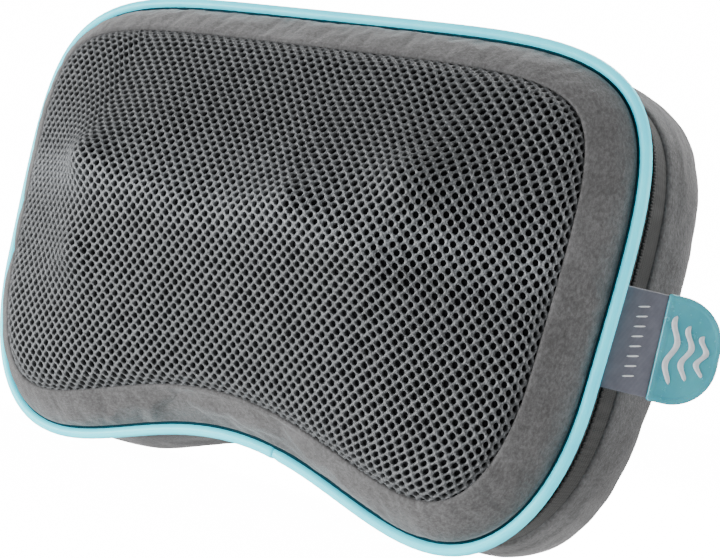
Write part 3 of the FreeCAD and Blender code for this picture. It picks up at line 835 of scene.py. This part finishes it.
def buildLining():
    insets = np.concatenate([np.linspace(0.0165, 0.03, 8), np.linspace(0.033, 0.172, 42)])
    count = under["columns"]
    rows = []
    for inset in insets:
        x, z = ring(inset, count)
        rows.append(stretched.points(x, z, face["liningUnder"]))
    heart = stretched.points(np.array([0.0]), np.array([pillow["heart"]]), face["liningUnder"])
    coords = np.vstack(rows + [heart])
    faces = gridFaces(len(insets), count) + capFaces(len(insets), count)
    obj = newObject("face_lining", coords, faces, finishes["lining"])
    obj.modifiers.new("thickness", "SOLIDIFY").thickness = under["liningThick"]
    applyAll(obj)
    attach(obj, "pillow")
    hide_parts("mesh_lining")


def buildFoamRing():
    # the soft ring under the mesh, open in the middle where the heads turn
    count = under["columns"]
    rows = []
    for inset in np.linspace(under["foamFrom"], under["foamTo"], 14):
        x, z = ring(inset, count)
        rows.append(stretched.points(x, z, under["foamUnder"]))
    rows += list(ringCoords(under["foamBack"], count))
    obj = newObject("foam_ring", np.vstack(rows), gridFaces(len(rows), count, True), finishes["foam"])
    faceOut(obj)
    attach(obj, "pillow")
    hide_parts("front_foam")


buildMeshPanel()
buildLining()
buildFoamRing()
print("mesh face")


# suede border between the piping and the mesh
border = {
    "columns": 480,
    "outer": ((-0.0126, 0.0044), (-0.0148, 0.0038), (-0.0172, 0.0042), (-0.0215, 0.0066),
              (-0.0280, 0.0120), (-0.0338, 0.0182), (-0.0352, 0.0200), (-0.0343, 0.0212),
              (-0.0322, 0.0216)),
    "inner": ((-0.0312, 0.0206), (-0.0322, 0.0188), (-0.0262, 0.0128), (-0.0190, 0.0070), (-0.0128, 0.0048)),
    "outerRows": 22,
    "innerRows": 6,
    "pressure": 5.0,
    "cap": 0.0022,
    "wrinkle": 0.00045,
    "slack": 0.015,
}


def buildBorder():
    b = border
    outer = smoothProfile(b["outer"], b["outerRows"])
    inner = smoothProfile(b["inner"], b["innerRows"])
    count = b["columns"]
    rows = ringCoords(np.vstack([outer, inner]), count)
    total = len(rows)
    obj = newObject("suede_border", rows.reshape(-1, 3), gridFaces(total, count, True), finishes["suede"])
    faceOut(obj)
    free = np.arange(3, b["outerRows"] - 4)
    held = [r * count + i for r in range(total) if r not in free for i in range(count)]
    inflate(obj, held, b["pressure"], b["cap"], b["slack"])
    co = getCoords(obj).reshape(total, count, 3)
    # gathers that run in from the mesh seam, and soft hollows along the band
    gather = layers(count, 11, (61, 83, 97, 118, 139, 151))
    hollow = layers(count, 12, (9, 14, 23, 31))
    across = np.zeros(total)
    across[:b["outerRows"]] = np.linspace(0, 1, b["outerRows"])
    for r in range(2, b["outerRows"] - 2):
        near = math.exp(-((across[r] - 0.86) / 0.16) ** 2)
        belly = math.sin(math.pi * across[r])
        push = gather * near * b["wrinkle"] + hollow * belly * b["wrinkle"] * 0.9
        co[r, :, 1] += push
    setCoords(obj, co.reshape(-1, 3))
    subdivide(obj)
    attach(obj, "pillow")
    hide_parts("front_border")


buildBorder()
print("suede border")


# piping
pipe = {
    "columns": 560,
    "sides": 14,
    "spliceAt": 0.024,
    "swell": 0.012,
    "tuckIn": 0.30,
    "flange": ((-0.0138, 0.0012), (-0.0136, 0.0048), (-0.0142, 0.0050), (-0.0156, 0.0034),
               (-0.0158, 0.0012)),
}


def buildPiping():
    # a covered cord whose end is tucked under its beginning on the bottom edge
    count, sides = pipe["columns"], pipe["sides"]
    x, z = ring(0, count)
    start = int(np.argmin(np.abs(x - pipe["spliceAt"]) + z))
    x, z = np.roll(x, -start), np.roll(z, -start)
    x, z = np.append(x, x[:4]), np.append(z, z[:4])
    count = len(x)
    tx, tz = np.gradient(x), np.gradient(z)
    long = np.hypot(tx, tz)
    outX, outZ = -tz / long, tx / long
    tuck = np.zeros(count)
    tuck[-6:] = np.linspace(0, 1, 6)
    swell = pipe["swell"] * np.sin(np.arange(count) * 2.1)
    size = pillow["pipingRadius"] * (1 + swell - pipe["tuckIn"] * tuck)
    size[:3] *= (0.90, 1.03, 1.05)
    coords = []
    for k in range(sides):
        a = 2 * math.pi * k / sides
        away = size * math.cos(a) - tuck * 0.0006
        coords.append(np.column_stack([x + middle + outX * away, pillow["pipingDepth"] + size * math.sin(a),
                                       z + outZ * away]))
    coords = np.array(coords).reshape(-1, 3)
    faces = []
    for k in range(sides):
        n = (k + 1) % sides
        for i in range(count - 1):
            faces.append((k * count + i, k * count + i + 1, n * count + i + 1, n * count + i))
    faces.append([k * count for k in range(sides)])
    faces.append([k * count + count - 1 for k in reversed(range(sides))])
    obj = newObject("aqua_piping", coords, faces, finishes["piping"])
    faceOut(obj)
    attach(obj, "pillow")
    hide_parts("piping")

    # the cord's sewn flange, which fills the groove behind it; its near-black teal is painted shade for the
    # shadow in the groove
    rows = ringCoords(pipe["flange"], 360)
    shade = grainy("tealFlangePaintedShade", (0.004, 0.035, 0.050), 0.9, 900, 0.0001, Specular_IOR_Level=0.1).mat
    flange = newObject("piping_flange", rows.reshape(-1, 3), gridFaces(5, 360, True), shade)
    faceOut(flange)
    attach(flange, "pillow")


buildPiping()
print("piping")


# zipper round the side
zipper = {
    "columns": 560,
    "frontFrom": -0.0125, "frontTo": 0.0036,
    "backFrom": 0.0064, "backTo": 0.0262,
    "inset": 0.0029,
    "thick": 0.0010,
    "ridge": 0.00013,
    "ridgeEvery": 0.0017,
    "toothPitch": 0.0015,
    "toothHalf": 0.0015,
    "middle": 0.0050,
}
controlLow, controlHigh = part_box("control_housing")


def inWindow(x, y, z, grow=0.0):
    # true where the control housing comes through the side
    inY = (y > controlLow.y + 0.001 - grow) & (y < controlHigh.y - 0.001 + grow)
    inZ = (z > controlLow.z + 0.001 - grow) & (z < controlHigh.z - 0.001 + grow)
    return (x < middle) & inY & inZ


def buildTape(name, node, start, end):
    w = zipper
    count = w["columns"]
    steps = int((end - start) / 0.00042)
    ys = np.linspace(start, end, steps)
    ridge = w["ridge"] * np.abs(np.sin((ys - start) / w["ridgeEvery"] * math.pi))
    outer = [(y, w["inset"] - r) for y, r in zip(ys, ridge)]
    inner = [(end, w["inset"] + w["thick"]), (start, w["inset"] + w["thick"])]
    rows = ringCoords(outer + inner, count)
    centre = (rows + np.roll(rows, -1, axis=1)) / 2
    keep = ~inWindow(centre[..., 0], centre[..., 1], centre[..., 2])
    keep[-2:] = ~inWindow(centre[-2:, :, 0], np.full((2, count), (start + end) / 2), centre[-2:, :, 2])
    faces = gridFaces(len(rows), count, True, keep)
    obj = newObject(name, rows.reshape(-1, 3), faces, finishes["zipper_tape"])
    faceOut(obj)
    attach(obj, "pillow")
    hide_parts(node)


def buildTeeth():
    w = zipper
    x, z, around = evenOutline(10)
    count = int(around / w["toothPitch"] / 2) * 2
    x, z = ring(w["inset"] - 0.0006, count)
    tx, tz = (np.roll(x, -1) - np.roll(x, 1)), (np.roll(z, -1) - np.roll(z, 1))
    long = np.hypot(tx, tz)
    tx, tz = tx / long, tz / long
    outX, outZ = -tz, tx
    section = ((-0.5, -0.55), (-0.42, 0.25), (0.0, 0.5), (0.42, 0.25), (0.5, -0.55))
    coords, faces = [], []
    for i in range(count):
        if inWindow(x[i] + middle, w["middle"], z[i], 0.0006):
            continue
        lean = w["toothHalf"] * (0.25 if i % 2 else -0.25)
        base = len(coords)
        for end, scale in ((-1.0, 0.55), (-0.8, 1.0), (0.8, 1.0), (1.0, 0.55)):
            y = w["middle"] + lean + end * w["toothHalf"]
            for a, b in section:
                along, away = a * scale * w["toothPitch"] * 0.86, b * scale * 0.0014
                coords.append((x[i] + middle + tx[i] * along + outX[i] * away, y,
                               z[i] + tz[i] * along + outZ[i] * away))
        barFaces(faces, base, 4, len(section))
    obj = newObject("zipper_teeth", coords, faces, finishes["zipper_teeth"])
    faceOut(obj)
    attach(obj, "pillow")
    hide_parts("zipper_coil")


buildTape("zipper_tape_fore", "zipper_tape_front", zipper["frontFrom"], zipper["frontTo"])
buildTape("zipper_tape_aft", "zipper_tape_back", zipper["backFrom"], zipper["backTo"])
buildTeeth()
print("zipper")


# back cover
back = {
    "columns": 360,
    "side": ((0.0268, 0.0052), (0.0252, 0.0040), (0.0248, 0.0026), (0.0262, 0.0010), (0.0330, -0.0012),
             (0.0420, -0.0026), (0.0500, -0.0030), (0.0584, -0.0018), (0.0645, 0.0040), (0.0669, 0.0108),
             (0.0672, 0.0160)),
    "sideRows": 26,
    "panel": ((0.0664, 0.0170), (0.0676, 0.0185), (0.0690, 0.0300), (0.0705, 0.0560), (0.0712, 0.0900),
              (0.0714, 0.1300), (0.0714, 0.1740)),
    "panelRows": 22,
    "pressure": 4.0,
    "cap": 0.0035,
    "slack": 0.01,
    "hollow": 0.0005,
    "fold": 0.00018,
    "proud": 0.0006,           # kept outside the foam
}


def buildBackCover():
    b = back
    side = smoothProfile(b["side"], b["sideRows"])
    panel = smoothProfile(b["panel"], b["panelRows"])
    count = b["columns"]
    profile = np.vstack([side, panel])
    rows = ringCoords(profile, count)
    total = len(rows)
    coords = np.vstack([rows.reshape(-1, 3), [(middle, panel[-1][0], pillow["heart"])]])
    faces = gridFaces(total, count) + capFaces(total, count)
    obj = newObject("back_suede", coords, faces, finishes["suede"])
    free = set(range(6, b["sideRows"] - 2)) | set(range(b["sideRows"] + 2, total))
    held = [r * count + i for r in range(total) if r not in free for i in range(count)]
    inflate(obj, held, b["pressure"], b["cap"], b["slack"])
    co = getCoords(obj)
    body = co[:total * count].reshape(total, count, 3)
    hollow = layers(count, 21, (7, 11, 17, 26, 35))
    fold = layers(count, 22, (43, 57, 71, 88))
    for r in range(6, total):
        if r < b["sideRows"]:
            share = math.sin(math.pi * (r - 5) / (b["sideRows"] - 4))
        else:
            share = math.exp(-(r - b["sideRows"]) / 5) * 0.8
        push = (hollow * b["hollow"] + fold * b["fold"] - b["proud"]) * share
        centreward = np.array([middle, 0.04, pillow["heart"]]) - body[r]
        centreward /= np.linalg.norm(centreward, axis=1, keepdims=True)
        body[r] += centreward * push[:, None]
    co[:, 2] = np.maximum(co[:, 2], 0.0)      # it stands on its two lobes
    setCoords(obj, co)
    subdivide(obj)
    co = getCoords(obj)
    co[:, 2] = np.maximum(co[:, 2], 0.0)
    setCoords(obj, co)
    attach(obj, "pillow")
    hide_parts("back_cover")


stitch = {"inset": 0.0192, "pitch": 0.0034, "long": 0.0022, "thick": 0.00035, "depth": 0.0680}


def buildStitches():
    # a row of thread stitches beside the back panel's seam
    x, z = ring(stitch["inset"], 1600)
    pitch, long, thick = stitch["pitch"], stitch["long"], stitch["thick"]
    run = np.concatenate([[0], np.cumsum(np.hypot(np.diff(x), np.diff(z)))])
    coords, faces = [], []
    sides = 6
    for s in np.arange(0, run[-1] - pitch, pitch):
        where = s + np.array([0.0, 0.15, 0.5, 0.85, 1.0]) * long
        px, pz = np.interp(where, run, x), np.interp(where, run, z)
        tx, tz = px[-1] - px[0], pz[-1] - pz[0]
        size = math.hypot(tx, tz)
        outX, outZ = -tz / size, tx / size
        base = len(coords)
        for j, lift in enumerate((-0.0003, 0.0002, 0.0004, 0.0002, -0.0003)):
            for k in range(sides):
                a = 2 * math.pi * k / sides
                away = thick * math.cos(a)
                coords.append((px[j] + middle + outX * away,
                               stitch["depth"] + lift + thick * math.sin(a), pz[j] + outZ * away))
        barFaces(faces, base, 5, sides)
    obj = newObject("back_stitches", coords, faces, finishes["suede"])
    faceOut(obj)
    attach(obj, "pillow")


buildBackCover()
buildStitches()
print("back cover")


# side tag
tag = {
    "angle": 30.0,
    "ribbonFrom": -0.0026,      # tucked in behind the piping
    "ribbonTo": 0.0190,
    "ribbonThick": 0.0013,
    "tabFrom": 0.0185,
    "tabTo": 0.0458,
    "tabThick": 0.0030,
    "corner": 0.0200,
    "waves": 3,
    "waveThick": 0.00135,
    "dashes": 8,
}
tagLow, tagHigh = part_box("side_tag")
tabLow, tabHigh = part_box("gel_tab")


def tagPlace(along, away, height):
    # along the tag, across its thickness (towards the front is negative), and up
    a = math.radians(tag["angle"])
    root = Vector((tagLow.x + 0.0008 * math.sin(a), tagLow.y + 0.0008 * math.cos(a), 0))
    x = root.x + along * math.cos(a) - away * math.sin(a)
    y = root.y + along * math.sin(a) + away * math.cos(a)
    return (x, y, height)


def buildRibbon():
    # a folded loop of satin ribbon with thicker selvedges
    low, high = tagLow.z, tagHigh.z
    rows, columns = 41, 14
    coords = []
    for side in (-1, 1):
        for r in range(rows):
            v = r / (rows - 1)
            height = low + (high - low) * v
            edge = max(0.0, 1 - min(v, 1 - v) / 0.035)
            thick = tag["ribbonThick"] / 2 * (1 + 0.25 * edge)
            if r in (0, rows - 1):
                thick *= 0.45
            for c in range(columns):
                u = c / (columns - 1)
                ripple = 0.00012 * math.sin(5.0 * v + 2.5 * u) * math.sin(math.pi * u)
                along = tag["ribbonFrom"] + (tag["ribbonTo"] - tag["ribbonFrom"]) * u
                coords.append(tagPlace(along, side * thick + ripple, height))
    faces = []
    half = rows * columns
    for side in (0, 1):
        for r in range(rows - 1):
            for c in range(columns - 1):
                a = side * half + r * columns + c
                faces.append((a, a + 1, a + columns + 1, a + columns))
    for c in range(columns - 1):
        for r in (0, rows - 1):
            a = r * columns + c
            faces.append((a, a + 1, half + a + 1, half + a))
    for r in range(rows - 1):
        for c in (0, columns - 1):
            a = r * columns + c
            faces.append((a, a + columns, half + a + columns, half + a))
    obj = newObject("satin_ribbon", coords, faces, finishes["tag"])
    faceOut(obj)
    subdivide(obj)
    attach(obj, "pillow")
    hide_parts("side_tag")


def tabOutline(inset, count=72):
    # a half oval: square at the ribbon, fully rounded at the outer end
    low, high = tabLow.z + inset, tabHigh.z - inset
    start, end = tag["tabFrom"] + inset, tag["tabTo"] - inset
    r = tag["corner"] - inset
    small = 0.0012
    path = []
    corners = (((end - r, high - r), r, 90), ((end - r, low + r), r, 0),
               ((start + small, low + small), small, -90), ((start + small, high - small), small, 180))
    for centre, radius, first in corners:
        for k in range(count // 4):
            a = math.radians(first - 90 * k / (count // 4 - 1))
            path.append((centre[0] + radius * math.cos(a), centre[1] + radius * math.sin(a)))
    return path


def buildTab():
    half = tag["tabThick"] / 2
    # inset from the edge and height above the middle, from the rim to the sunken face
    profile = ((0, 0.0), (0.00003, 0.3), (0.0002, 0.7), (0.0006, 0.93), (0.0011, 1.0), (0.0019, 1.0),
               (0.0024, 0.9), (0.0028, 0.80), (0.0034, 0.78), (0.0060, 0.78))
    coords, rings = [], []
    for side in (-1, 1):
        for inset, share in profile:
            if side == 1 and inset == 0:
                continue
            rings.append(len(coords))
            coords += [tagPlace(u, side * half * share, v) for u, v in tabOutline(inset)]
    count = 72
    faces = []
    front = rings[:len(profile)]
    rear = [rings[0]] + rings[len(profile):]
    for chain in (front, rear):
        for a, b in zip(chain, chain[1:]):
            for k in range(count):
                n = (k + 1) % count
                faces.append((a + k, a + n, b + n, b + k))
        faces.append([chain[-1] + k for k in range(count)])
    obj = newObject("gel_tab_moulding", coords, faces, finishes["gel"])
    faceOut(obj)
    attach(obj, "pillow")
    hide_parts("gel_tab")


def waveFinish():
    f = Finish("tabPrint", 0.4, Specular_IOR_Level=0.5)
    patch = f.noise(400, 3)
    f.colour(f.ramp(patch, [(0.3, (0.50, 0.53, 0.56)), (0.7, (0.62, 0.65, 0.68))]))
    f.relief(patch, 0.00005)
    return f.mat


def buildWaves():
    # three soft wavy bars raised on both faces of the tab
    coords, faces = [], []
    sides, steps = 8, 40
    for side in (-1, 1):
        for w in range(tag["waves"]):
            middleAlong = tag["tabFrom"] + 0.0062 + w * 0.0066
            room = 0.0150 - 0.0030 * w
            base = len(coords)
            for i in range(steps):
                v = -1 + 2 * i / (steps - 1)
                height = (tabLow.z + tabHigh.z) / 2 + v * room
                along = middleAlong + 0.0016 * math.sin(v * math.pi * 1.6 + 0.6)
                size = tag["waveThick"] * math.sqrt(max(0.02, 1 - abs(v) ** 8))
                for k in range(sides):
                    a = 2 * math.pi * k / sides
                    away = side * (tag["tabThick"] / 2 * 0.78 + 0.45 * size * math.sin(a))
                    coords.append(tagPlace(along + size * math.cos(a), away, height))
            barFaces(faces, base, steps, sides)
    obj = newObject("gel_tab_waves", coords, faces, waveFinish())
    faceOut(obj)
    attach(obj, "pillow")


def buildDashes():
    # a plain row of raised woven dashes down the middle of the ribbon, on both faces
    coords, faces = [], []
    sides, steps = 6, 7
    for side in (-1, 1):
        for d in range(tag["dashes"]):
            height = tagLow.z + 0.0075 + (tagHigh.z - tagLow.z - 0.015) * d / (tag["dashes"] - 1)
            base = len(coords)
            for i in range(steps):
                v = -1 + 2 * i / (steps - 1)
                size = 0.00042 * math.sqrt(max(0.05, 1 - v ** 6))
                for k in range(sides):
                    a = 2 * math.pi * k / sides
                    along = 0.0088 + v * 0.0026
                    away = side * (tag["ribbonThick"] / 2 + 0.00004) + 0.6 * size * math.sin(a)
                    coords.append(tagPlace(along, away, height + v * 0.0006 + size * math.cos(a)))
            barFaces(faces, base, steps, sides)
    thread = grainy("whiteThread", (0.72, 0.73, 0.74), 0.6, 2500, 0.00006, 0.06).mat
    obj = newObject("ribbon_dashes", coords, faces, thread)
    faceOut(obj)
    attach(obj, "pillow")


buildRibbon()
buildDashes()
buildTab()
buildWaves()
print("side tag")
